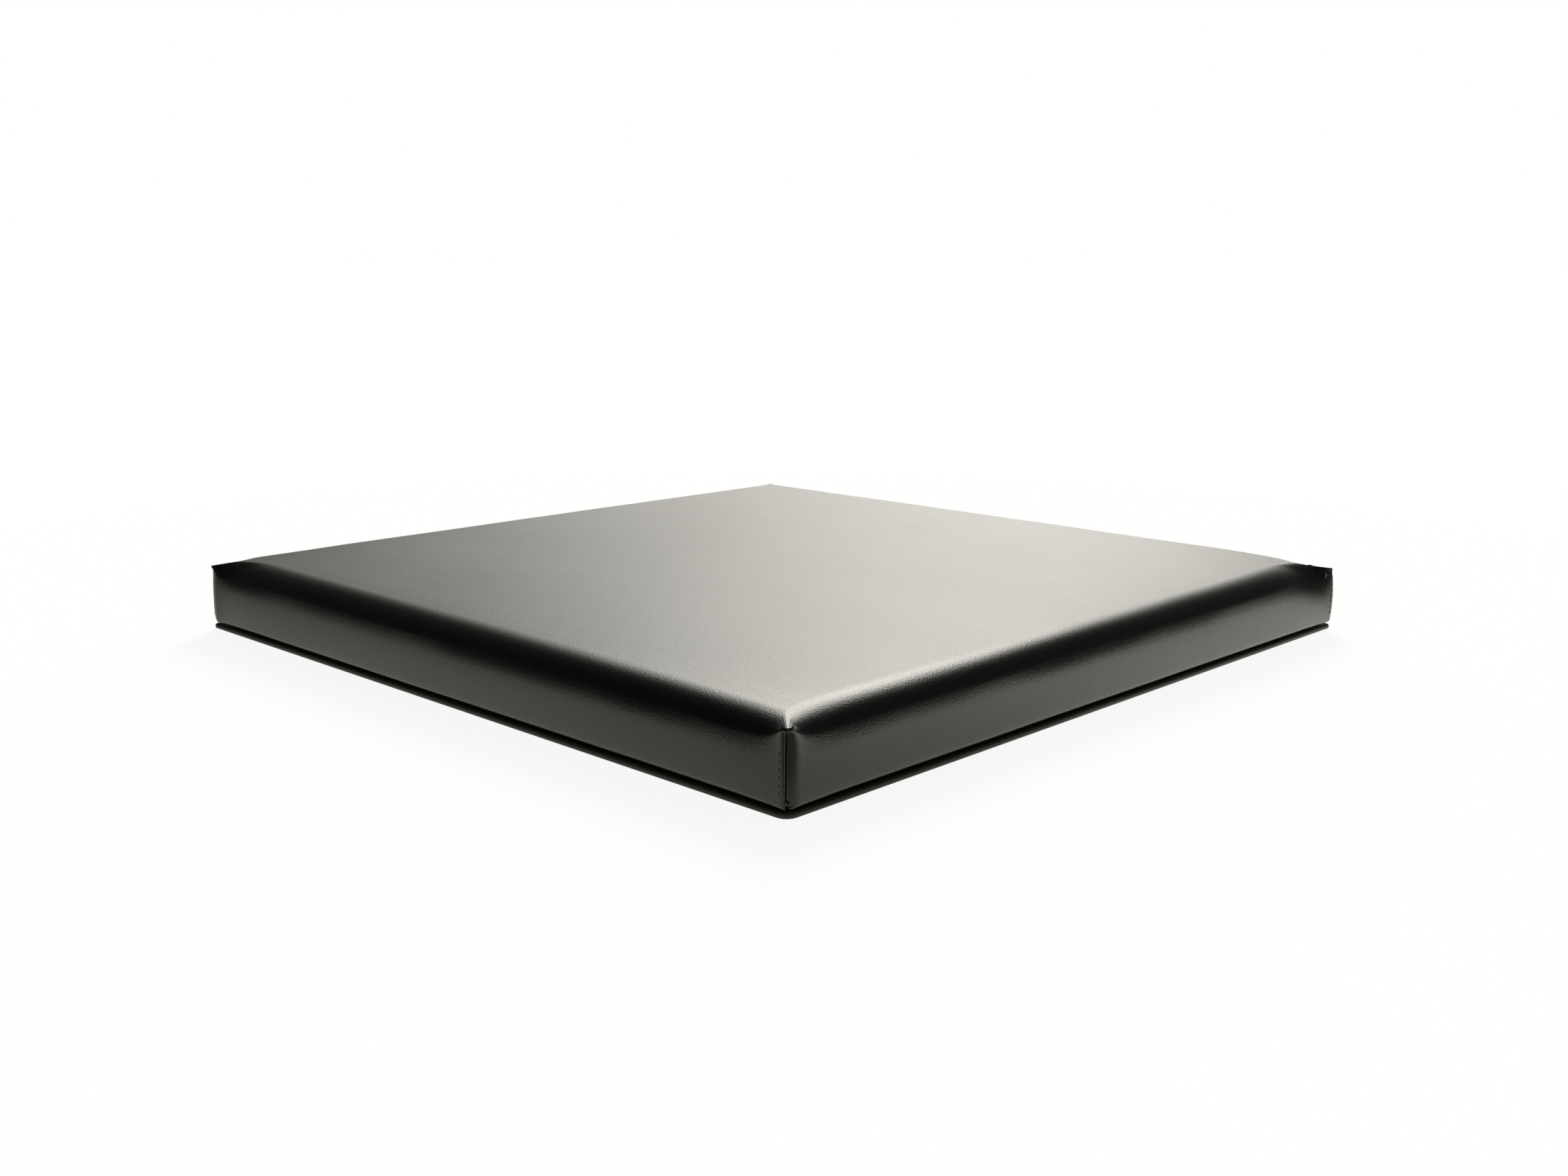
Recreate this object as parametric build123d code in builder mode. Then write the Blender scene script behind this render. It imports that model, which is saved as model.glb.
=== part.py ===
"""Balance pad: a square upholstered foam pad that a person stands on for balance exercises.

A sheet of coated vinyl is pulled over foam on a thin plywood board, lapped and stitched at its four
corners, turned under the board and stapled there. A non-slip rubber sheet closes the underside.

Millimetres. +Z is up, and the origin is on the floor under the middle of the pad. The front is at -Y.
"""

import os

from build123d import *

# Overall size, over the cover.
pad_width = 600.0  # along X
pad_depth = 600.0  # along Y

# The layers, from the floor up.
base_sheet_thickness = 4.0
staple_wire_height = 0.6  # the staples' crowns lie between the base sheet and the cover's hem
cover_thickness = 1.2
board_thickness = 9.0
support_foam_thickness = 18.0
comfort_foam_thickness = 15.0
wadding_thickness = 3.0

# Edges and corners.
top_edge_radius = 13.0  # outside of the cover
lower_edge_radius = 5.0  # outside of the cover, where it turns under the board
board_corner_radius = 12.0  # leaves room for the folded vinyl at the corners
base_sheet_corner_radius = 3.0
base_sheet_edge_radius = 1.0
foam_clearance = 0.2  # at the sides, between each layer and the one around it

# The cover's hem, turned in under the board, and the felt that levels the space inside it.
hem_width = 34.0
felt_clearance = 1.0

# Staples through the hem into the board.
staple_crown_width = 10.0
staple_wire_width = 1.2
staple_leg_thickness = 0.6
staple_grip = 6.5  # depth of the legs in the board
staple_inset = 17.0  # from the pad's side to the row of staples
staple_corner_gap = 40.0  # from the pad's corner to the first staple of a side
staple_pitch = 40.0  # the rows are spaced evenly, no wider than this

# Each corner seam: one side's folded edge laps over the next side and is stitched along its edge.
lap_slit_width = 0.6
lap_slit_depth = 0.8
stitch_inset = 5.0  # from the pad's corner to the row of stitches
stitch_length = 3.0
stitch_width = 0.8
stitch_depth = 0.6
stitch_pitch = 4.2
stitch_end_gap = 2.0  # between the row and the curves above and below it

# Heights that follow from the layers.
base_top = base_sheet_thickness
hem_bottom = base_top + staple_wire_height
hem_top = hem_bottom + cover_thickness
board_top = hem_top + board_thickness
support_top = board_top + support_foam_thickness
comfort_top = support_top + comfort_foam_thickness
wadding_top = comfort_top + wadding_thickness
pad_height = wadding_top + cover_thickness

# Insets from the pad's side to each layer, and the radii that nest inside one another.
cavity_inset = cover_thickness
board_inset = cavity_inset + foam_clearance
foam_inset = board_inset + wadding_thickness + foam_clearance
cavity_top_radius = top_edge_radius - cover_thickness
cavity_lower_radius = lower_edge_radius - cover_thickness
foam_top_radius = cavity_top_radius - wadding_thickness


def cushion_block(inset, bottom, top, top_radius, lower_radius=0.0):
    """A block of the pad's plan, less inset all round, with its top edges and bottom edges rounded."""
    with BuildPart() as block:
        with BuildSketch(Plane.XY.offset(bottom)):
            Rectangle(pad_width - 2 * inset, pad_depth - 2 * inset)
        extrude(amount=top - bottom)
        fillet(block.edges().group_by(Axis.Z)[-1], top_radius)
        if lower_radius:
            fillet(block.edges().group_by(Axis.Z)[0], lower_radius)
    return block.part


def save(piece, name):
    """Labels a finished piece and writes it to its own file."""
    piece.label = name
    export_step(piece, f"parts/{name}.step")


os.makedirs("parts", exist_ok=True)

side_flat_bottom = hem_bottom + lower_edge_radius
side_flat_top = pad_height - top_edge_radius

# The four sides, each seen from outside: its outward normal and the direction to its right-hand end.
sides = {
    "left": (Vector(-1, 0, 0), Vector(0, -1, 0)),
    "front": (Vector(0, -1, 0), Vector(1, 0, 0)),
    "right": (Vector(1, 0, 0), Vector(0, 1, 0)),
    "back": (Vector(0, 1, 0), Vector(-1, 0, 0)),
}
half_size = Vector(pad_width / 2, pad_depth / 2, 0)


def side_plane(normal, along, from_end, right_end=True):
    """The plane of a side's outer face, with its origin half-way up, from_end away from one end."""
    reach = abs(half_size.dot(along)) - from_end
    face_distance = abs(half_size.dot(normal))
    origin = normal * face_distance + along * (reach if right_end else -reach)
    middle = (side_flat_bottom + side_flat_top) / 2
    return Plane(origin=origin + Vector(0, 0, middle), x_dir=along, z_dir=normal)


# Base sheet: non-slip rubber, the only piece that touches the floor.
with BuildPart() as base_sheet:
    with BuildSketch():
        RectangleRounded(pad_width, pad_depth, base_sheet_corner_radius)
    extrude(amount=base_sheet_thickness)
    fillet(base_sheet.faces().filter_by(Axis.Z).edges(), base_sheet_edge_radius)
save(base_sheet.part, "base_sheet")


# Levelling felt: fills the shallow space between the board and the base sheet, inside the hem.
felt_inset = hem_width + felt_clearance
with BuildPart() as levelling_felt:
    with BuildSketch(Plane.XY.offset(base_top)):
        Rectangle(pad_width - 2 * felt_inset, pad_depth - 2 * felt_inset)
    extrude(amount=hem_top - base_top)
save(levelling_felt.part, "levelling_felt")


# One staple, crown down and legs up, as it is driven into the underside of the board.
leg_height = staple_wire_height + cover_thickness + staple_grip
leg_spacing = staple_crown_width - staple_leg_thickness
with BuildPart() as staple:
    with BuildSketch(Plane.XZ):
        with Locations((0, base_top)):
            Rectangle(staple_crown_width, staple_wire_height, align=(Align.CENTER, Align.MIN))
        with Locations((-leg_spacing / 2, base_top), (leg_spacing / 2, base_top)):
            Rectangle(staple_leg_thickness, leg_height, align=(Align.CENTER, Align.MIN))
    extrude(amount=staple_wire_width / 2, both=True)


def row_count(side_length):
    """How many staples hold one side of the hem."""
    return 1 + int(-(-(side_length - 2 * staple_corner_gap) // staple_pitch))


def row_pitch(side_length):
    """The even spacing of the staples of one side."""
    return (side_length - 2 * staple_corner_gap) / (row_count(side_length) - 1)


# Cover staples: one row along each side, crowns parallel to the side.
across_x = pad_width - 2 * staple_inset
across_y = pad_depth - 2 * staple_inset
with BuildPart() as cover_staples:
    with GridLocations(row_pitch(pad_width), across_y, row_count(pad_width), 2):
        add(staple.part)
    with GridLocations(across_x, row_pitch(pad_depth), 2, row_count(pad_depth)):
        add(staple.part, rotation=(0, 0, 90))
save(cover_staples.part, "cover_staples")


# Base board: plywood with its lower edge rounded over, so that it doesn't cut the vinyl.
with BuildPart() as base_board:
    with BuildSketch(Plane.XY.offset(hem_top)):
        RectangleRounded(
            pad_width - 2 * board_inset,
            pad_depth - 2 * board_inset,
            board_corner_radius,
        )
    extrude(amount=board_thickness)
    fillet(base_board.edges().group_by(Axis.Z)[0], cavity_lower_radius)
    add(cover_staples.part, mode=Mode.SUBTRACT)
save(base_board.part, "base_board")


# Support foam: the firm lower layer, glued to the board.
with BuildPart() as support_foam:
    with BuildSketch(Plane.XY.offset(board_top)):
        Rectangle(pad_width - 2 * foam_inset, pad_depth - 2 * foam_inset)
    extrude(amount=support_foam_thickness)
save(support_foam.part, "support_foam")


# Comfort foam: the soft upper layer that gives way under the foot.
with BuildPart() as comfort_foam:
    with BuildSketch(Plane.XY.offset(support_top)):
        Rectangle(pad_width - 2 * foam_inset, pad_depth - 2 * foam_inset)
    extrude(amount=comfort_foam_thickness)
    fillet(comfort_foam.edges().group_by(Axis.Z)[-1], foam_top_radius)
save(comfort_foam.part, "comfort_foam")


# Wadding: a thin fibre layer over the top and sides of the foam, down to the board.
wadding_outside = cushion_block(board_inset, board_top, wadding_top, cavity_top_radius)
wadding_inside = cushion_block(
    board_inset + wadding_thickness, board_top, comfort_top, foam_top_radius
)
with BuildPart() as wadding:
    add(wadding_outside)
    add(wadding_inside, mode=Mode.SUBTRACT)
save(wadding.part, "wadding")


# Corner stitching: a row of short stitches beside the folded edge at the right-hand end of each side.
stitch_rows = {}
row_length = side_flat_top - side_flat_bottom - 2 * stitch_end_gap - stitch_length
stitch_count = 1 + int(row_length // stitch_pitch)
corner_names = ["front_left", "front_right", "back_right", "back_left"]
for corner, (normal, along) in zip(corner_names, sides.values()):
    with BuildPart() as stitch_row:
        with BuildSketch(side_plane(normal, along, stitch_inset)):
            with GridLocations(0, stitch_pitch, 1, stitch_count):
                SlotOverall(stitch_length, stitch_width, rotation=90)
        extrude(amount=-stitch_depth)
    stitch_rows[corner] = stitch_row.part
    save(stitch_row.part, f"stitching_{corner}")


# Cover: coated vinyl over the top and sides, turned under the board as a hem.
cover_outside = cushion_block(0, hem_bottom, pad_height, top_edge_radius, lower_edge_radius)
cover_inside = cushion_block(
    cavity_inset, hem_top, wadding_top, cavity_top_radius, cavity_lower_radius
)
slit_height = side_flat_top - side_flat_bottom
lap_thickness = 2 * cover_thickness  # the folded edge is two layers of vinyl
with BuildPart() as cover:
    add(cover_outside)
    add(cover_inside, mode=Mode.SUBTRACT)
    with BuildSketch(Plane.XY.offset(hem_bottom)):
        Rectangle(pad_width - 2 * hem_width, pad_depth - 2 * hem_width)
    extrude(amount=cover_thickness, mode=Mode.SUBTRACT)
    # The slit beside each lapped edge, at the left-hand end of the side that the lap lies on.
    for normal, along in sides.values():
        with BuildSketch(side_plane(normal, along, lap_thickness, right_end=False)):
            Rectangle(lap_slit_width, slit_height)
        extrude(amount=-lap_slit_depth, mode=Mode.SUBTRACT)
    for row in stitch_rows.values():
        add(row, mode=Mode.SUBTRACT)
    add(cover_staples.part, mode=Mode.SUBTRACT)
save(cover.part, "cover")
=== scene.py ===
"""Balance pad: a square foam pad under black coated vinyl, lapped and stitched at its corners.

The pieces are made in the order in which the pad is put together: board, foams, wadding, cover and its
stitching, staples, felt and base sheet. Metres throughout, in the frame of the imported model, which stands
on the floor at z = 0.
"""

import math

import bmesh
import bpy
import numpy as np
from mathutils import Matrix, Vector


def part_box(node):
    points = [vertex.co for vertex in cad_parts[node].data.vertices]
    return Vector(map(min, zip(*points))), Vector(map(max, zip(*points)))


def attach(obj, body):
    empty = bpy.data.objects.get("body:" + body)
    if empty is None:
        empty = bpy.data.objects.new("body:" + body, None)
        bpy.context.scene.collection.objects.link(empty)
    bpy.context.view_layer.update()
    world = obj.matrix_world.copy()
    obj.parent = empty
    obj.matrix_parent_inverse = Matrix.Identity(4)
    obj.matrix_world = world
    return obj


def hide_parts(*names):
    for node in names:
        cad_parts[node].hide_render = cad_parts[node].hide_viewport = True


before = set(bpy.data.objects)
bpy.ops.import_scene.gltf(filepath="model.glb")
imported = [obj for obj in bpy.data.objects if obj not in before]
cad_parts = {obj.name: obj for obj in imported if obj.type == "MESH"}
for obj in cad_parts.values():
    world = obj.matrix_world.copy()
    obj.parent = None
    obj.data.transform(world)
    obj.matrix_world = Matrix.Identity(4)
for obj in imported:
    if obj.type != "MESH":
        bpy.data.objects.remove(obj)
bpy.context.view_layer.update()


# ---------------------------------------------------------------------------------------------------
# Camera and studio. The pad stands on a white floor, seen from just above its front left corner.
# A big soft lamp over the backdrop behind it shines in the vinyl's top. The rest of the room is dim,
# and the floor keeps a faint shadow under the pad.

camera_place = (-0.8499, -0.8264, 0.2796)
camera_heading = math.radians(46.1)  # from +Y towards +X
camera_dip = math.radians(11.83)
camera_roll = math.radians(0.27)

camera_data = bpy.data.cameras.new("camera")
camera_data.sensor_width = 36.0
camera_data.lens = 36.76
camera = bpy.data.objects.new("camera", camera_data)
camera.matrix_world = (
    Matrix.Translation(camera_place)
    @ Matrix.Rotation(-camera_heading, 4, "Z")
    @ Matrix.Rotation(math.pi / 2 - camera_dip, 4, "X")
    @ Matrix.Rotation(camera_roll, 4, "Z")
)
bpy.context.scene.collection.objects.link(camera)
bpy.context.scene.camera = camera
bpy.context.scene.view_settings.view_transform = "Standard"


def make_material(name):
    """A new node material, with its tree and its Principled shader."""
    material = bpy.data.materials.new(name)
    material.use_nodes = True
    return material, material.node_tree, material.node_tree.nodes["Principled BSDF"]


def add_node(tree, kind, inputs=None, **settings):
    """Adds a node to a tree. Each of its inputs is linked if it is given a socket, or else set."""
    node = tree.nodes.new(kind)
    for key, value in settings.items():
        setattr(node, key, value)
    for key, value in (inputs or {}).items():
        if isinstance(value, bpy.types.NodeSocket):
            tree.links.new(value, node.inputs[key])
        else:
            node.inputs[key].default_value = value
    return node


def calculate(tree, operation, first, second=0.0):
    """A maths node on one or two values."""
    return add_node(tree, "ShaderNodeMath", {0: first, 1: second}, operation=operation).outputs[0]


def product(tree, first, second):
    """Two values multiplied."""
    return calculate(tree, "MULTIPLY", first, second)


def seen_directly(tree):
    """1 for what is seen straight, in gloss or through glass, and 0 for the light that reaches a surface."""
    rays = add_node(tree, "ShaderNodeLightPath").outputs
    straight_or_gloss = calculate(tree, "MAXIMUM", rays["Is Camera Ray"], rays["Is Glossy Ray"])
    return calculate(tree, "MAXIMUM", straight_or_gloss, rays["Is Transmission Ray"])


def object_place(tree):
    """The place of a point of the piece, in metres."""
    return add_node(tree, "ShaderNodeTexCoord").outputs["Object"]


def towards(tree, direction, heading):
    """How far a direction points towards a heading on the horizon, from -1 to 1."""
    aim = (math.sin(heading), math.cos(heading), 0)
    return add_node(
        tree, "ShaderNodeVectorMath", {0: direction, 1: aim}, operation="DOT_PRODUCT"
    ).outputs["Value"]


def ramp(tree, value, start, end, low=0.0, high=1.0, interpolation="SMOOTHSTEP"):
    """Goes from low, where the value is start, to high, where it is end."""
    settings = {"Value": value, "From Min": start, "From Max": end, "To Min": low, "To Max": high}
    return add_node(
        tree, "ShaderNodeMapRange", settings, interpolation_type=interpolation
    ).outputs["Result"]


bpy.ops.mesh.primitive_plane_add(size=60.0, location=(0, 0, -0.0002))
floor = bpy.context.object
floor.name = "floor"
floor_paint, tree, shader = make_material("white_floor")
matt = add_node(tree, "ShaderNodeBsdfDiffuse", {"Color": (0.4, 0.4, 0.4, 1)})
floor_place = object_place(tree)
from_pad = add_node(tree, "ShaderNodeVectorMath", {0: floor_place}, operation="LENGTH").outputs["Value"]
floor_white = ramp(tree, from_pad, 0.8, 3.0, 0.9, 1.06)
# In gloss the floor is brighter on the right, and dark in front of the pad, where the camera stands.
rightward = towards(tree, floor_place, camera_heading + math.pi / 2)
backward = towards(tree, floor_place, camera_heading)
glossy_left = ramp(tree, rightward, -0.65, -0.3, 0.45, 0.85, "LINEAR")
glossy_right = ramp(tree, rightward, 0.0, 0.4, 0.0, 0.72)
floor_in_gloss = product(
    tree,
    calculate(tree, "ADD", glossy_left, glossy_right),
    ramp(tree, backward, -0.50, -0.43, 0.25, 1.0),
)
to_eye = add_node(tree, "ShaderNodeLightPath").outputs["Is Camera Ray"]
floor_glow = add_node(
    tree, "ShaderNodeMix", {"Factor": to_eye, "A": floor_in_gloss, "B": floor_white}, data_type="FLOAT"
).outputs["Result"]
glow_strength = product(tree, seen_directly(tree), floor_glow)
white, warm_white = (1, 1, 1, 1), (1.0, 0.99, 0.88, 1)
glow_colour = add_node(
    tree, "ShaderNodeMix", {"Factor": to_eye, 6: warm_white, 7: white}, data_type="RGBA"
).outputs[2]
glow = add_node(tree, "ShaderNodeEmission", {"Color": glow_colour, "Strength": glow_strength})
both = add_node(tree, "ShaderNodeAddShader", {0: matt.outputs[0], 1: glow.outputs[0]})
tree.links.new(both.outputs[0], tree.nodes["Material Output"].inputs["Surface"])
tree.nodes.remove(shader)
floor.data.materials.append(floor_paint)

world = bpy.data.worlds.new("studio")
bpy.context.scene.world = world
world.use_nodes = True
tree = world.node_tree
direction = add_node(tree, "ShaderNodeTexCoord").outputs["Generated"]

# The backdrop stands behind the pad and is brighter on the right. To the eye the walls are plain white.
steepness = add_node(tree, "ShaderNodeSeparateXYZ", {"Vector": direction}).outputs["Z"]
rightward = towards(tree, direction, camera_heading + math.pi / 2)
backward = towards(tree, direction, camera_heading)
left_end = ramp(tree, rightward, -0.58, -0.20)
right_end = ramp(tree, rightward, 0.62, 0.34)
behind = ramp(tree, backward, 0.0, 0.3)
backdrop_glow = ramp(tree, rightward, -0.12, 0.26, 1.25, 2.7)
backdrop = product(tree, product(tree, left_end, right_end), product(tree, behind, backdrop_glow))
to_eye = add_node(tree, "ShaderNodeLightPath").outputs["Is Camera Ray"]
low_in_room = ramp(tree, steepness, 0.27, 0.12)
# The lamp is a broad soft one, above the backdrop's middle.
lamp_glow = 7.8
lamp_across = product(tree, ramp(tree, rightward, -0.28, 0.06), ramp(tree, rightward, 0.36, 0.15))
lamp_up = product(tree, ramp(tree, steepness, 0.22, 0.44), ramp(tree, steepness, 0.74, 0.58))
lamp = product(tree, product(tree, lamp_across, lamp_up), product(tree, behind, lamp_glow))
room = product(tree, low_in_room, backdrop)
room_dim = ramp(tree, rightward, 0.2, 0.9, 0.04, 0.08)
# A dim window behind the camera lights the pad's far sides.
behind_camera = product(
    tree, ramp(tree, backward, -0.55, -0.9, 0.0, 0.6), ramp(tree, steepness, 0.5, 0.2)
)
for light in (lamp, room_dim, behind_camera):
    room = calculate(tree, "ADD", room, light)
lit_room = add_node(
    tree, "ShaderNodeBackground", {"Color": (1.0, 0.975, 0.90, 1), "Strength": room}
).outputs[0]
white_wall = tree.nodes["Background"]
white_wall.inputs["Color"].default_value = white
seen = add_node(tree, "ShaderNodeMixShader", {0: to_eye, 1: lit_room, 2: white_wall.outputs[0]})
tree.links.new(seen.outputs[0], tree.nodes["World Output"].inputs["Surface"])


# ---------------------------------------------------------------------------------------------------
# Base board. 9 mm birch plywood, rounded at its corners to leave room for the folded vinyl and
# rounded over along its lower edge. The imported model's own board stays, with its veneers drawn here.


def split_axes(tree, vector):
    """The X, Y and Z of a vector."""
    return add_node(tree, "ShaderNodeSeparateXYZ", {"Vector": vector}).outputs


def stretched(tree, vector, scale):
    """Coordinates drawn out by a different amount along each axis."""
    return add_node(tree, "ShaderNodeMapping", {"Vector": vector, "Scale": scale}).outputs["Vector"]


def noise(tree, vector, scale, detail):
    """Soft random patches, from 0 to 1. The scale is about how many fit in a metre."""
    settings = {"Vector": vector, "Scale": scale, "Detail": detail}
    return add_node(tree, "ShaderNodeTexNoise", settings).outputs["Fac"]


def blend_colours(tree, share, first, second):
    """The first colour where share is 0, the second where it is 1."""
    mix = add_node(tree, "ShaderNodeMix", data_type="RGBA")
    tree.links.new(share, mix.inputs["Factor"])
    for socket, colour in ((mix.inputs[6], first), (mix.inputs[7], second)):
        if isinstance(colour, bpy.types.NodeSocket):
            tree.links.new(colour, socket)
        else:
            socket.default_value = (*colour, 1)
    return mix.outputs[2]


def spread_range(tree, value, low, high):
    """A value from 0 to 1 as one from low to high."""
    settings = {"Value": value, "To Min": low, "To Max": high}
    return add_node(tree, "ShaderNodeMapRange", settings).outputs["Result"]


def raise_surface(tree, shader, height, distance, strength=1.0, below=None):
    """A bump of the given height in metres, on top of the one below it."""
    settings = {"Height": height, "Distance": distance, "Strength": strength}
    if below:
        settings["Normal"] = below
    bump = add_node(tree, "ShaderNodeBump", settings).outputs["Normal"]
    tree.links.new(bump, shader.inputs["Normal"])
    return bump


def finish_node(name, material):
    """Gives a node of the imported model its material."""
    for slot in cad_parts[name].material_slots:
        slot.material = material


veneer_thickness = 0.0013
plywood, tree, shader = make_material("birch_plywood")
place = object_place(tree)
grain = noise(tree, stretched(tree, place, (3, 60, 60)), 4.0, detail=6.0)
face_colour = blend_colours(tree, grain, (0.58, 0.41, 0.24), (0.44, 0.28, 0.14))
height = split_axes(tree, place)["Z"]
layer = calculate(tree, "MODULO", height, 2 * veneer_thickness)
dark_layer = calculate(tree, "GREATER_THAN", layer, veneer_thickness)
edge_colour = blend_colours(tree, dark_layer, (0.50, 0.34, 0.19), (0.27, 0.16, 0.08))
facing = split_axes(tree, add_node(tree, "ShaderNodeNewGeometry").outputs["Normal"])["Z"]
flat_face = calculate(tree, "GREATER_THAN", calculate(tree, "ABSOLUTE", facing), 0.7)
tree.links.new(blend_colours(tree, flat_face, edge_colour, face_colour), shader.inputs["Base Color"])
tree.links.new(spread_range(tree, grain, 0.55, 0.75), shader.inputs["Roughness"])
raise_surface(tree, shader, grain, 0.0003, 0.4)
finish_node("base_board", plywood)


# ---------------------------------------------------------------------------------------------------
# Support foam. The firm lower layer, 18 mm of dense grey polyurethane foam, sawn square, with its
# corners trimmed like the board's. It is glued to the board.


def deselect():
    """Nothing selected, so that the next operator acts on the new piece alone."""
    bpy.ops.object.select_all(action="DESELECT")


def make_active(piece):
    """The piece selected alone, for operators and modifiers."""
    deselect()
    piece.select_set(True)
    bpy.context.view_layer.objects.active = piece


def add_block(name, low, high):
    """A box from its lowest to its highest corner, with its origin at the frame's origin."""
    deselect()
    low, high = Vector(low), Vector(high)
    bpy.ops.mesh.primitive_cube_add(size=1.0, location=(low + high) / 2, scale=high - low)
    block = bpy.context.object
    block.name = name
    bpy.ops.object.transform_apply(location=True, rotation=True, scale=True)
    return block


def pick(piece, test, what="FACE"):
    """In edit mode, selects only the faces, edges or vertices that pass a test of their middle and self."""
    bpy.ops.mesh.select_mode(type=what)
    bpy.ops.mesh.select_all(action="DESELECT")
    mesh = bmesh.from_edit_mesh(piece.data)
    items = {"FACE": mesh.faces, "EDGE": mesh.edges, "VERT": mesh.verts}[what]
    for item in items:
        points = [item.co] if what == "VERT" else [v.co for v in item.verts]
        item.select_set(test(sum(points, Vector()) / len(points), item))
    bmesh.update_edit_mesh(piece.data)


def is_upright(middle, edge):
    """True for the edges that run up and down."""
    along = edge.verts[1].co - edge.verts[0].co
    return abs(along.normalized().z) > 0.9


def finish_piece(piece, material, nodes, crease=40):
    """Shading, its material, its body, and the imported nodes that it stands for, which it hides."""
    make_active(piece)
    bpy.ops.object.shade_smooth_by_angle(angle=math.radians(crease))
    piece.data.materials.clear()
    piece.data.materials.append(material)
    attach(piece, "root")
    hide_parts(*nodes)


def foam_material(name, light, dark, cell_size, roughness):
    """Cut open-cell foam: small rounded cells, uneven in colour and height."""
    foam, tree, shader = make_material(name)
    place = object_place(tree)
    settings = {"Vector": place, "Scale": 1 / cell_size, "Randomness": 1.0}
    cells = add_node(tree, "ShaderNodeTexVoronoi", settings).outputs["Distance"]
    patches = noise(tree, place, 45.0, detail=4.0)
    mottled = blend_colours(tree, patches, light, tuple(0.86 * c for c in light))
    tree.links.new(blend_colours(tree, cells, mottled, dark), shader.inputs["Base Color"])
    shader.inputs["Roughness"].default_value = roughness
    shader.inputs["Specular IOR Level"].default_value = 0.2
    raise_surface(tree, shader, cells, 0.6 * cell_size, 0.8)
    return foam


corner_trim = 0.012
saw_nick = 0.0004  # the foam's cut edges are this soft
support_low, support_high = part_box("support_foam")
support_foam = add_block("support_foam_block", support_low, support_high)
bpy.ops.object.mode_set(mode="EDIT")
pick(support_foam, is_upright, "EDGE")
bpy.ops.mesh.bevel(offset=corner_trim, segments=6)
pick(support_foam, lambda middle, edge: not is_upright(middle, edge), "EDGE")
bpy.ops.mesh.bevel(offset=saw_nick, segments=2)
bpy.ops.object.mode_set(mode="OBJECT")
dense_foam = foam_material("dense_grey_foam", (0.23, 0.24, 0.25), (0.10, 0.105, 0.11), 0.0011, 0.9)
finish_piece(support_foam, dense_foam, ["support_foam"])


# ---------------------------------------------------------------------------------------------------
# Comfort foam. The soft upper layer, 15 mm of cream polyurethane foam. The cover pulls its top edges
# down and round, so it has the form of the finished cushion, a little inside the cover.

cover_low, cover_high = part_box("cover")
half_width = cover_high.x
# For the left, front, right and back side: how far in the top's edge starts to round, how far down it
# reaches, and how far the top falls beside it. The right and back sides are pulled tighter.
top_edge_widths = (0.024, 0.024, 0.013, 0.013)
top_edge_depths = (0.013, 0.013, 0.009, 0.009)
edge_falls = (0.0006, 0.0006, -0.0008, -0.0008)
edge_fall_reach = 0.030  # over which each fades away
tight_edge_width = 0.003  # both are small where the vinyl is folded at a corner
tight_edge_depth = 0.0025
fold_width = 0.005  # of the tight fold itself
deepening_reach = 0.040  # over which a corner's deeper, leaning edge fades away
meeting_share = 0.08  # of a side, over which its form turns into the next one's
lower_edge_radius = 0.0050
tight_lower_radius = 0.0022  # where it is small too, at a corner
lift_reach = 0.012
upright_reach = 0.012  # of the upright fold beside a corner
upper_lean = math.radians(21)  # of the side from upright, at its top
middle_lean = math.radians(5)  # where it has turned down
lower_lean = math.radians(6)  # and at its bottom, the other way
shoulder_share = 0.34  # of the side's height, over which it turns down
side_stands_out = 0.0009  # beyond the pad's nominal width, half-way up
hem_reach = 0.034  # how far the hem is turned in under the board
ring_margin = 0.044  # the width of the band round the top that belongs to the sides
unevenness = 0.25  # of how far each side leans, as a share
fold_calms = 0.8  # the share of the unevenness that a fold takes away
fold_draws_in = 0.5  # the share of side_stands_out that a fold takes away
top_swells = ((0.00006, 52, 4, 0), (0.00004, 31, -38, 1))  # height, waves along x and y, start

# The four sides as seen from outside: which way each faces, and the way to its right-hand end.
sides = [
    (Vector((-1, 0, 0)), Vector((0, -1, 0))),
    (Vector((0, -1, 0)), Vector((1, 0, 0))),
    (Vector((1, 0, 0)), Vector((0, 1, 0))),
    (Vector((0, 1, 0)), Vector((-1, 0, 0))),
]


class Corner:
    """How one corner has turned out, folded by hand. It is at the right-hand end of its side."""

    def __init__(self, side, drop, drop_reach, tight_reach, deepening, lean, lift, point, point_height):
        outward, sideways = sides[side]
        self.towards = outward + sideways
        self.drop = drop  # of the top at the corner
        self.drop_reach = drop_reach
        self.tight_reach = tight_reach  # of the tight top edge beside the corner
        self.deepening = deepening  # of the top edge further along, as a share
        self.lean = math.radians(lean)  # by which the side's upper part leans in more, further along
        self.lift = lift  # of the lower edge, over the folded vinyl below
        self.point = point  # how far the fold stands out
        self.point_height = point_height  # above which it stands out in full


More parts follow.
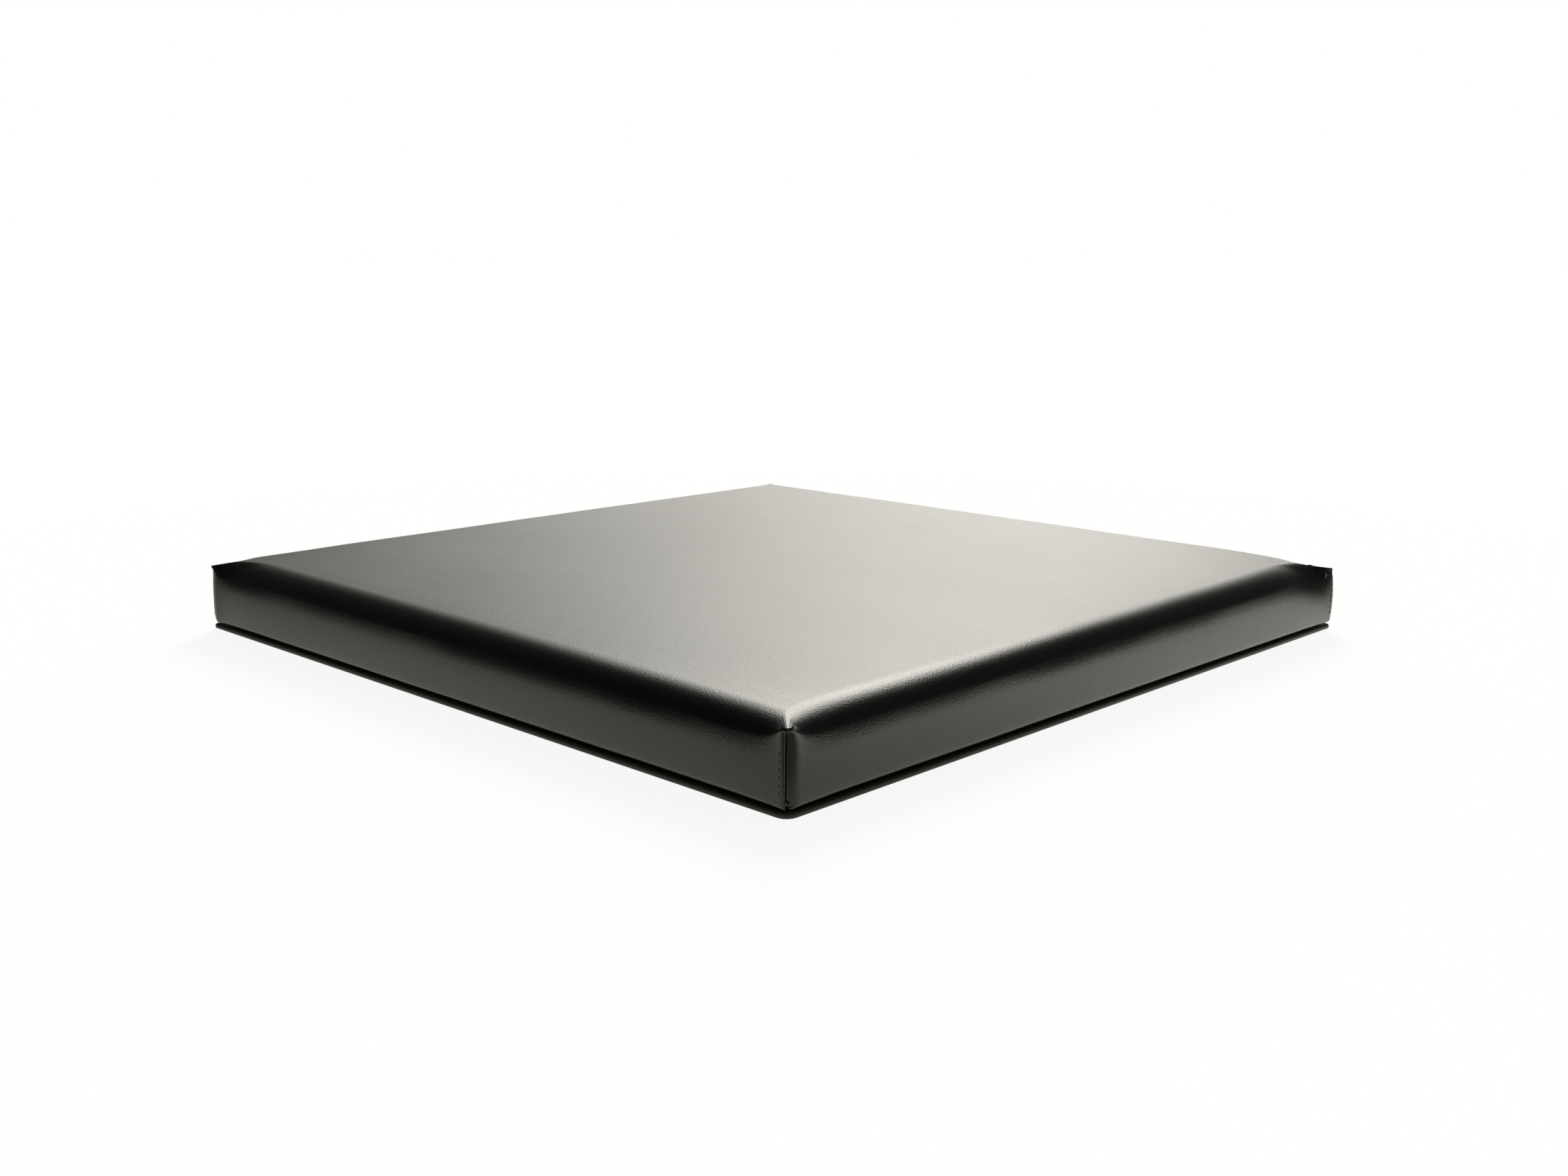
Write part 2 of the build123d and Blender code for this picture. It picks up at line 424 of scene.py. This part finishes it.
front_left = Corner(
    side=0,
    drop=0.0026,
    drop_reach=0.024,
    tight_reach=0.010,
    deepening=0.0,
    lean=0,
    lift=0.0008,
    point=0.0004,
    point_height=0.045,
)
front_right = Corner(
    side=1,
    drop=0.0066,
    drop_reach=0.016,
    tight_reach=0.006,
    deepening=0.3,
    lean=28,
    lift=0.0009,
    point=0.0036,
    point_height=0.040,
)
back_right = Corner(
    side=2,
    drop=0.0034,
    drop_reach=0.016,
    tight_reach=0.008,
    deepening=0.2,
    lean=4,
    lift=0.0008,
    point=0.0002,
    point_height=0.040,
)
back_left = Corner(
    side=3,
    drop=0.0054,
    drop_reach=0.011,
    tight_reach=0.006,
    deepening=0.2,
    lean=4,
    lift=0.0005,
    point=0.0013,
    point_height=0.009,
)
corners = [front_left, front_right, back_right, back_left]


def smooth(value):
    """0 below 0, 1 above 1, and an even curve between."""
    value = min(max(value, 0.0), 1.0)
    return value * value * (3 - 2 * value)


side_waves = ((0.5, 17, 1.7), (0.3, 41, 3.6), (0.2, 73, 1.0))  # share, waves along it, shift per side


def ripple(side, along):
    """The slight unevenness of each hand-pulled side, from -1 to 1."""
    return sum(share * math.sin(along * count + shift * side) for share, count, shift in side_waves)


def top_height(x, y):
    """The height of the cushion's top, which falls a little towards its sides and more at its corners."""
    fall = 0.0
    for (outward, sideways), edge_fall in zip(sides, edge_falls):
        from_side = half_width - outward.x * x - outward.y * y
        fall += edge_fall * math.exp(-from_side / edge_fall_reach)
    for corner in corners:
        away = math.hypot(half_width - x * corner.towards.x, half_width - y * corner.towards.y)
        fall += corner.drop * math.exp(-away / corner.drop_reach)
    fall += sum(height * math.sin(a * x + b * y + start) for height, a, b, start in top_swells)
    return cover_high.z - fall


# Rings of points round the pad, from the top's edge down the sides and in under the board.
flat_rings = 12
round_rings = 14
side_rings = 16
shoulder_rings = 8  # the first of side_rings, where the side turns down
lower_rings = 8
hem_rings = 4
flat_spacing = 1.4  # above 1, the flat rings lie closer together near the rounded edge


def own_share(value):
    """1 along a side and 0 at its ends, where it has the form that it shares with the next side."""
    return smooth((1 - abs(value)) / meeting_share)


def ring_profile(ring, side, along, own):
    """Inset, height and lean of one ring of a side, where lean is the outward normal's angle from up."""
    outward, sideways = sides[side]
    neighbour = (side + (1 if along > 0 else -1)) % 4
    to_corner = max(half_width - abs(along), 0.0)
    corner = corners[side if along > 0 else (side - 1) % 4]

    def height_at(inset):
        spot = outward * (half_width - max(inset, 0.0)) + sideways * along
        return top_height(spot.x, spot.y)

    def own_or_shared(sizes):
        shared = (sizes[side] + sizes[neighbour]) / 2
        return shared + (sizes[side] - shared) * own

    # The top edge is small and tight at the corner's fold, and grows along the side.
    beside_fold = max(to_corner - fold_width, 0.0)
    tight = math.exp(-beside_fold / corner.tight_reach)
    deep = 1 + corner.deepening * math.exp(-to_corner / deepening_reach)
    width = own_or_shared(top_edge_widths) * (1 - tight) + tight_edge_width * tight
    depth = (own_or_shared(top_edge_depths) * (1 - tight) + tight_edge_depth * tight) * deep
    # The side leans in at its top and at its bottom, unevenly, and is steadier beside the fold.
    upright = math.exp(-beside_fold / upright_reach)
    slack = corner.lean * math.exp(-to_corner / deepening_reach)
    uneven = 1 + unevenness * own * ripple(side, along)
    uneven *= 1 - fold_calms * upright
    top_lean = (upper_lean + slack) * uneven
    mid_lean = (middle_lean + slack) * uneven
    bottom_lean = lower_lean * uneven
    turn_under = lower_edge_radius + (tight_lower_radius - lower_edge_radius) * upright
    stands_out = side_stands_out * (1 - fold_draws_in * upright)
    # Three arcs follow the top edge: the side's upper and lower part, and the turn under the board.
    last_turn = math.atan2(width, depth * math.tan(top_lean))
    side_top = height_at(to_corner * (1 - own)) - depth * (1 - math.cos(last_turn))
    bottom = cover_low.z + corner.lift * math.exp(-((to_corner / lift_reach) ** 2))
    side_bottom = bottom + turn_under * (1 - math.sin(bottom_lean))
    side_middle = side_top + (side_bottom - side_top) * shoulder_share
    upper_radius = (side_top - side_middle) / (math.sin(top_lean) - math.sin(mid_lean))
    lower_radius = (side_middle - side_bottom) / (math.sin(mid_lean) + math.sin(bottom_lean))
    middle_end = lower_radius * (1 - math.cos(mid_lean)) - stands_out
    top_end = middle_end + upper_radius * (math.cos(mid_lean) - math.cos(top_lean))
    bottom_end = lower_radius * (1 - math.cos(bottom_lean)) - stands_out
    edge_shift = top_end - width * (1 - math.sin(last_turn))
    if ring <= flat_rings:
        share = 1 - (1 - ring / flat_rings) ** flat_spacing
        inset = ring_margin + (width + edge_shift - ring_margin) * share
        return inset, height_at(inset), 0.0
    ring -= flat_rings
    if ring <= round_rings:
        turn = last_turn * ring / round_rings
        inset = width * (1 - math.sin(turn)) + edge_shift
        height = height_at(inset) - depth * (1 - math.cos(turn))
        return inset, height, math.atan2(depth * math.sin(turn), width * math.cos(turn))
    ring -= round_rings
    if ring <= shoulder_rings:
        lean = top_lean + (mid_lean - top_lean) * ring / shoulder_rings
        inset = middle_end + upper_radius * (math.cos(mid_lean) - math.cos(lean))
        height = side_top - upper_radius * (math.sin(top_lean) - math.sin(lean))
        return inset, height, math.pi / 2 - lean
    if ring <= side_rings:
        share = (ring - shoulder_rings) / (side_rings - shoulder_rings)
        lean = mid_lean - (mid_lean + bottom_lean) * share
        inset = lower_radius * (1 - math.cos(lean)) - stands_out
        height = side_middle - lower_radius * (math.sin(mid_lean) - math.sin(lean))
        return inset, height, math.pi / 2 - lean
    ring -= side_rings
    if ring <= lower_rings:
        turn = bottom_lean + (math.pi / 2 - bottom_lean) * ring / lower_rings
        inset = bottom_end + turn_under * (math.cos(bottom_lean) - math.cos(turn))
        return inset, bottom + turn_under * (1 - math.sin(turn)), math.pi / 2 + turn
    share = (ring - lower_rings) / hem_rings
    hem_start = bottom_end + turn_under * math.cos(bottom_lean)
    return hem_start + (hem_reach - hem_start) * share, bottom + (cover_low.z - bottom) * share, math.pi


settle_reach = 0.07
settle_steps = 16


def settle(value, wanted):
    """The place along a side at which the place that is wanted there is the place itself."""
    low, high = half_width * value - settle_reach, half_width * value + settle_reach
    for _ in range(settle_steps):
        middle = (low + high) / 2
        if wanted(middle) > middle:
            low = middle
        else:
            high = middle
    return middle


seam_tolerance = 0.00007  # between the patches of a layer, where they meet


def new_mesh_piece(name, vertices, faces, apart=()):
    """A piece from its points and faces. Points that meet are joined, except those that stay apart."""
    mesh = bpy.data.meshes.new(name)
    mesh.from_pydata(vertices, [], faces)
    piece = bpy.data.objects.new(name, mesh)
    bpy.context.scene.collection.objects.link(piece)
    make_active(piece)
    bpy.ops.object.mode_set(mode="EDIT")
    pick(piece, lambda middle, point: point.index not in apart, "VERT")
    bpy.ops.mesh.remove_doubles(threshold=seam_tolerance)
    bpy.ops.object.mode_set(mode="OBJECT")
    return piece


def add_patch(vertices, faces, rows):
    """A patch of four-sided faces through rows of points."""
    start = len(vertices)
    width = len(rows[0])
    for row in rows:
        vertices.extend(row)
    for i in range(len(rows) - 1):
        for j in range(width - 1):
            a = start + i * width + j
            faces.append((a, a + width, a + width + 1, a + 1))


def layer_point(side, ring, value, depth, bottom):
    """A point of a layer that lies depth inside the cushion's surface and ends at the height bottom."""
    outward, sideways = sides[side]
    own = own_share(value)
    along = settle(value, lambda spot: value * (half_width - ring_profile(ring, side, spot, own)[0]))
    inset, height, lean = ring_profile(ring, side, along, own)
    place = outward * (half_width - inset) + sideways * along
    place.z = height
    place -= Vector((0, 0, math.cos(lean))) * depth
    place.x *= 1 - math.sin(lean) * depth / half_width
    place.y *= 1 - math.sin(lean) * depth / half_width
    place.z = max(place.z, bottom)
    straight = half_width - depth - corner_trim
    past = Vector((abs(place.x) - straight, abs(place.y) - straight))
    if past.x > 0 and past.y > 0:
        past *= max(past) / past.length
        place.x = math.copysign(straight + past.x, place.x)
        place.y = math.copysign(straight + past.y, place.y)
    return place[:]


def cushion_layer(name, depth, bottom, last_ring, line_count):
    """A sheet with the cushion's form, depth inside it, over its top and down its sides."""
    steps = np.sin(np.linspace(-math.pi / 2, math.pi / 2, line_count + 1))
    vertices, faces = [], []
    lines = steps * (half_width - ring_margin)
    add_patch(vertices, faces, [[(x, y, top_height(x, y) - depth) for y in lines] for x in lines])
    for side in range(4):
        rings = range(0, last_ring + 1, 2)  # every second ring is enough under the cover
        add_patch(
            vertices,
            faces,
            [[layer_point(side, ring, value, depth, bottom) for value in steps] for ring in rings],
        )
    return new_mesh_piece(name, vertices, faces)


wadding_thickness = 0.003
wadding_depth = 0.0012
foam_depth = wadding_depth + wadding_thickness + 0.0002
comfort_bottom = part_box("comfort_foam")[0].z
comfort_foam = cushion_layer(
    "comfort_foam_block", foam_depth, comfort_bottom, flat_rings + round_rings + 10, 40
)
bpy.ops.object.mode_set(mode="EDIT")
pick(comfort_foam, lambda middle, edge: edge.is_boundary, "EDGE")
bpy.ops.mesh.edge_face_add()
bpy.ops.mesh.select_all(action="SELECT")
bpy.ops.mesh.normals_make_consistent(inside=False)
bpy.ops.object.mode_set(mode="OBJECT")
cream_foam = foam_material("soft_cream_foam", (0.74, 0.66, 0.47), (0.50, 0.42, 0.27), 0.0007, 0.85)
finish_piece(comfort_foam, cream_foam, ["comfort_foam"])


# ---------------------------------------------------------------------------------------------------
# Wadding. 3 mm of bonded polyester fibre, laid over the foam and down its sides to the board, where
# it is trimmed off. It softens the foam's cut edges under the vinyl.


def thicken(piece, thickness):
    """Gives a sheet its thickness, on its inner side."""
    solid = piece.modifiers.new("thickness", "SOLIDIFY")
    solid.thickness = thickness
    solid.offset = -1.0
    make_active(piece)
    bpy.ops.object.modifier_apply(modifier=solid.name)


board_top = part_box("base_board")[1].z
wadding = cushion_layer(
    "wadding_sheet", wadding_depth, board_top, flat_rings + round_rings + 14, 60
)
thicken(wadding, wadding_thickness)
fibre, tree, shader = make_material("polyester_fibre")
place = object_place(tree)
tangle = noise(tree, stretched(tree, place, (260, 900, 900)), 1.0, detail=5.0)
cross_tangle = noise(tree, stretched(tree, place, (900, 240, 900)), 1.0, detail=5.0)
fibres = calculate(tree, "MAXIMUM", tangle, cross_tangle)
tree.links.new(
    blend_colours(tree, fibres, (0.70, 0.70, 0.68), (0.90, 0.90, 0.88)), shader.inputs["Base Color"]
)
shader.inputs["Roughness"].default_value = 0.95
shader.inputs["Sheen Weight"].default_value = 0.3
raise_surface(tree, shader, fibres, 0.0008, 0.9)
finish_piece(wadding, fibre, ["wadding"])


# ---------------------------------------------------------------------------------------------------
# Cover. One sheet of black coated vinyl, pulled over the foam and turned under the board as a hem.
# At each corner the left-hand side, seen from outside, ends in a folded lip that laps over the
# right-hand side, which turns the corner and goes in behind it.

vinyl_thickness = 0.001
lip_radius = 0.00105  # the lip is two layers, folded
lip_setback = 0.0028  # from the pad's corner to the lip's edge
turn_radius = 0.0063  # of the vinyl that goes in behind the lip
turn_start = 0.0085  # from the pad's corner
tuck_depth = 0.0088  # how far in it goes
draw_back_reach = 0.05  # along the side, over which the columns make room for the lap
column_count = 118
pucker_height = 0.00018  # small gathers in the top edge beside each fold
pucker_spacing = 0.0044
pucker_reach = 0.011
pucker_start = 0.003  # from the fold
point_reach = 0.012  # of the fold that stands out at a corner
hem_closes = 0.6  # how much less the lap opens under the pad, as a share
even_spacing = 0.22  # the columns lie closer together near the corners, the less it is
lip_tucks = (0.003, 0.007)  # the lip's inner layer, in steps past its fold

ring_count = flat_rings + round_rings + side_rings + lower_rings + hem_rings
first_lapped_ring = flat_rings + 4
full_lap_ring = flat_rings + round_rings + 4
side_end_ring = flat_rings + round_rings + side_rings


def lap_share(ring):
    """How far the lap has opened at a ring: 0 on the top, 1 down the side, less under the pad."""
    opened = smooth((ring - first_lapped_ring) / (full_lap_ring - first_lapped_ring))
    closed = smooth((ring - side_end_ring) / lower_rings)
    return opened * (1 - hem_closes * closed)


# Each side's columns from left to right: how far along the side each lies, from -1 to 1, then how far
# it is drawn back from the corner and in from the surface where the lap is fully open.
steps = np.linspace(-1, 1, column_count + 1)
spread = even_spacing * steps + (1 - even_spacing) * np.sin(steps * math.pi / 2)
columns = [(-1.0, turn_start - turn_radius, tuck_depth)]
for angle in range(90, 0, -15):
    turn = math.radians(angle)
    columns.append(
        (-1.0, turn_start - turn_radius * math.sin(turn), turn_radius * (1 - math.cos(turn)))
    )
for value in spread:
    columns.append((float(value), None, 0.0))
lip_start = lip_setback + lip_radius
for angle in range(30, 181, 30):
    turn = math.radians(angle)
    columns.append((1.0, lip_start - lip_radius * math.sin(turn), lip_radius * (1 - math.cos(turn))))
for tucked in lip_tucks:
    columns.append((1.0, lip_start + tucked, 2 * lip_radius))


def cover_point(side, ring, column):
    """The place of one point of the cover, in metres."""
    outward, sideways = sides[side]
    value, drawn_back, depth = column
    share = lap_share(ring)
    own = own_share(value)

    def wanted(spot):
        reach = half_width - ring_profile(ring, side, spot, own)[0]
        back = drawn_back
        if back is None:
            full = lip_start if value > 0 else turn_start
            back = full * smooth(1 - reach * (1 - abs(value)) / draw_back_reach)
        return value * reach - math.copysign(back * share, value)

    along = settle(value, wanted)
    inset, height, lean = ring_profile(ring, side, along, own)
    to_end = (half_width - inset) * (1 - abs(value))
    normal = outward * math.sin(lean) + Vector((0, 0, math.cos(lean)))
    from_corner = half_width - abs(along)
    gathered = math.exp(-from_corner / pucker_reach) * math.sin(lean) * smooth(to_end / pucker_start)
    lump = pucker_height * gathered * math.sin(math.tau * from_corner / pucker_spacing)
    place = outward * (half_width - inset) + sideways * along
    place.z = height
    place += normal * (lump - depth * share)
    corner = corners[side if value > 0 else (side - 1) % 4]
    away = math.hypot(half_width - abs(place.x), half_width - abs(place.y))
    raised = (height - cover_low.z) / (corner.point_height - cover_low.z)
    near_point = min(max(raised, 0.0), 1.0) * math.exp(-((away / point_reach) ** 2))
    place += corner.towards.normalized() * corner.point * near_point
    return place[:]


vertices, faces, lapped = [], [], set()
lines = spread * (half_width - ring_margin)
add_patch(vertices, faces, [[(x, y, top_height(x, y)) for y in lines] for x in lines])
for side in range(4):
    rings = range(ring_count + 1)
    first_lapped = len(vertices) + (first_lapped_ring + 1) * len(columns)
    add_patch(
        vertices, faces, [[cover_point(side, ring, column) for column in columns] for ring in rings]
    )
    lapped.update(range(first_lapped, len(vertices)))
cover = new_mesh_piece("vinyl_cover", vertices, faces, lapped)
thicken(cover, vinyl_thickness)

vinyl, tree, shader = make_material("black_vinyl")
shader.inputs["Base Color"].default_value = (0.0045, 0.0045, 0.0040, 1)
shader.inputs["IOR"].default_value = 1.5
place = object_place(tree)
patches = noise(tree, place, 9.0, detail=4.0)
tree.links.new(spread_range(tree, patches, 0.25, 0.33), shader.inputs["Roughness"])
pores = add_node(tree, "ShaderNodeTexVoronoi", {"Vector": place, "Scale": 950.0}).outputs["Distance"]
grain = raise_surface(tree, shader, pores, 0.00016, 0.45)
pulls = noise(tree, stretched(tree, place, (55, 6, 20)), 1.0, detail=4.0)
raise_surface(tree, shader, pulls, 0.0012, 0.12, below=grain)
finish_piece(cover, vinyl, ["cover"])


# ---------------------------------------------------------------------------------------------------
# Corner stitching. Six short stitches of black twisted thread hold each lip down, close to its edge.
# One stitch is made of two strands, twisted and bent so that its ends go down into the vinyl.

strand_radius = 0.00017
strand_squash = 1.15  # the strands press into each other
stitch_length = 0.0036
stitch_twist = math.radians(700)
stitch_bend = math.radians(75)
stitch_count = 6
stitch_gap = 0.0012  # between one stitch and the next
search_height = 0.003  # off the pad's side, from where each stitch's place on the cover is found


def bend_by(piece, method, axis, angle):
    """Twists or bends a piece with a modifier, which is applied."""
    make_active(piece)
    change = piece.modifiers.new(method, "SIMPLE_DEFORM")
    change.deform_method = method
    change.deform_axis = axis
    change.angle = angle
    bpy.ops.object.modifier_apply(modifier=change.name)


deselect()
strands = []
for offset in (-strand_radius, strand_radius):
    bpy.ops.mesh.primitive_cylinder_add(
        vertices=7, radius=strand_squash * strand_radius, depth=stitch_length, location=(offset, 0, 0)
    )
    strands.append(bpy.context.object)
for strand in strands:
    strand.select_set(True)
bpy.ops.object.join()
stitch = bpy.context.object
stitch.name = "stitch"
bpy.ops.object.transform_apply(location=True, rotation=True, scale=True)
bpy.ops.object.mode_set(mode="EDIT")
pick(stitch, is_upright, "EDGE")
bpy.ops.mesh.subdivide(number_cuts=15)
bpy.ops.object.mode_set(mode="OBJECT")
bend_by(stitch, "TWIST", "Z", stitch_twist)
bend_by(stitch, "BEND", "X", stitch_bend)
thread, tree, shader = make_material("black_thread")
place = object_place(tree)
lint = noise(tree, place, 2500.0, detail=4.0)
tree.links.new(
    blend_colours(tree, lint, (0.009, 0.009, 0.008), (0.030, 0.030, 0.028)), shader.inputs["Base Color"]
)
shader.inputs["Roughness"].default_value = 0.7
shader.inputs["Sheen Weight"].default_value = 0.1
raise_surface(tree, shader, lint, 0.0001, 0.6)

for corner_name, (outward, sideways) in zip(
    ("front_left", "front_right", "back_right", "back_left"), sides
):
    node = f"stitching_{corner_name}"
    row_low, row_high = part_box(node)
    row_middle = (row_low + row_high) / 2
    stitch_height = (row_high.z - row_low.z + stitch_gap) / stitch_count - stitch_gap
    row = []
    for number in range(stitch_count):
        spot = row_middle.copy()
        spot.z = row_low.z + stitch_height / 2 + number * (stitch_height + stitch_gap)
        _, seat, seat_normal, _ = cover.closest_point_on_mesh(spot + outward * search_height)
        turned = Matrix((sideways, -seat_normal, seat_normal.cross(sideways))).transposed()
        placed = stitch.copy()
        placed.data = stitch.data.copy()
        placed.data.transform(Matrix.Translation(seat) @ turned.to_4x4())
        bpy.context.scene.collection.objects.link(placed)
        row.append(placed)
    deselect()
    for placed in row:
        placed.select_set(True)
    bpy.context.view_layer.objects.active = row[0]
    bpy.ops.object.join()
    row[0].name = f"corner_thread_{corner_name}"
    finish_piece(row[0], thread, [node])
bpy.data.objects.remove(stitch)


# ---------------------------------------------------------------------------------------------------
# Cover staples. Fifty-six galvanised wire staples hold the hem to the underside of the board. The
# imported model's own staples stay, in drawn zinc-coated wire.

zinc, tree, shader = make_material("galvanised_wire")
place = object_place(tree)
spangle = noise(tree, place, 1400.0, detail=3.0)
tree.links.new(
    blend_colours(tree, spangle, (0.46, 0.47, 0.49), (0.66, 0.67, 0.69)), shader.inputs["Base Color"]
)
shader.inputs["Metallic"].default_value = 1.0
tree.links.new(spread_range(tree, spangle, 0.28, 0.5), shader.inputs["Roughness"])
raise_surface(tree, shader, spangle, 0.0001, 0.3)
finish_node("cover_staples", zinc)


# ---------------------------------------------------------------------------------------------------
# Levelling felt. Needled grey felt inside the hem, which brings the underside level with it so that
# the base sheet lies flat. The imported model's own felt stays.

felt, tree, shader = make_material("needled_felt")
place = object_place(tree)
hairs = noise(tree, stretched(tree, place, (500, 1600, 1600)), 1.0, detail=6.0)
flecks = noise(tree, place, 320.0, detail=2.0)
ground = blend_colours(tree, hairs, (0.17, 0.17, 0.18), (0.36, 0.36, 0.37))
tree.links.new(blend_colours(tree, flecks, ground, (0.26, 0.24, 0.22)), shader.inputs["Base Color"])
shader.inputs["Roughness"].default_value = 0.95
shader.inputs["Sheen Weight"].default_value = 0.25
raise_surface(tree, shader, hairs, 0.0006, 0.9)
finish_node("levelling_felt", felt)


# ---------------------------------------------------------------------------------------------------
# Base sheet. Black moulded rubber, 4 mm thick, with rounded edges, glued over the hem and the felt.
# Its underside is moulded in a grid of small square pads, so that it grips the floor.

base_corner_radius = 0.003
front_corner_radius = 0.008  # the front left corner is cut rounder
base_edge_radius = 0.0018
tread_count = 34  # small pads along each side
tread_groove_depth = 0.0008
tread_groove_width = 0.0024
tread_margin = 0.012

base_low, base_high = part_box("base_sheet")
edge_rise = Vector((0, 0, base_edge_radius))
base_sheet = add_block("rubber_base_sheet", base_low + edge_rise, base_high - edge_rise)
bpy.ops.object.mode_set(mode="EDIT")
for at_front, radius in ((True, front_corner_radius), (False, base_corner_radius)):
    pick(
        base_sheet,
        lambda middle, edge: is_upright(middle, edge)
        and (middle.x + middle.y < -base_high.x) == at_front,
        "EDGE",
    )
    bpy.ops.mesh.bevel(offset=radius, segments=6)
for facing_up in (True, False):
    pick(base_sheet, lambda middle, face: abs(face.normal.z) > 0.9 and (face.normal.z > 0) == facing_up)
    turns = [math.radians(angle) for angle in range(0, 91, 15)]
    for turn, next_turn in zip(turns, turns[1:]):
        bpy.ops.mesh.inset(
            thickness=base_edge_radius * (math.cos(turn) - math.cos(next_turn)),
            depth=base_edge_radius * (math.sin(next_turn) - math.sin(turn)),
        )
# The middle of the underside is divided into pads, and the lines between them are pushed in.
tread_half = base_high.x - tread_margin


def is_underside(middle, face):
    """True for the faces on the floor."""
    return middle.z < base_low.z + 0.00001


for side in (Vector((1, 0, 0)), Vector((-1, 0, 0)), Vector((0, 1, 0)), Vector((0, -1, 0))):
    pick(base_sheet, is_underside)
    bpy.ops.mesh.bisect(plane_co=side * tread_half, plane_no=side)
pick(base_sheet, lambda middle, face: is_underside(middle, face) and middle.length < 0.01)
bpy.ops.mesh.inset(thickness=tread_groove_width / 2)
bpy.ops.mesh.subdivide(number_cuts=tread_count - 1)
mesh = bmesh.from_edit_mesh(base_sheet.data)
grid_points = {vertex.index for vertex in mesh.verts if vertex.select}
bpy.ops.mesh.inset(thickness=tread_groove_width / 2, use_individual=True)
pick(base_sheet, lambda middle, vertex: vertex.index in grid_points, "VERT")
bpy.ops.transform.translate(value=(0, 0, tread_groove_depth))
bpy.ops.object.mode_set(mode="OBJECT")

rubber, tree, shader = make_material("moulded_rubber")
place = object_place(tree)
bloom = noise(tree, place, 60.0, detail=5.0)
speckle = noise(tree, place, 1100.0, detail=3.0)
tree.links.new(
    blend_colours(tree, bloom, (0.018, 0.016, 0.012), (0.028, 0.024, 0.018)), shader.inputs["Base Color"]
)
tree.links.new(spread_range(tree, speckle, 0.5, 0.72), shader.inputs["Roughness"])
raise_surface(tree, shader, speckle, 0.0002, 0.5)
finish_piece(base_sheet, rubber, ["base_sheet"])
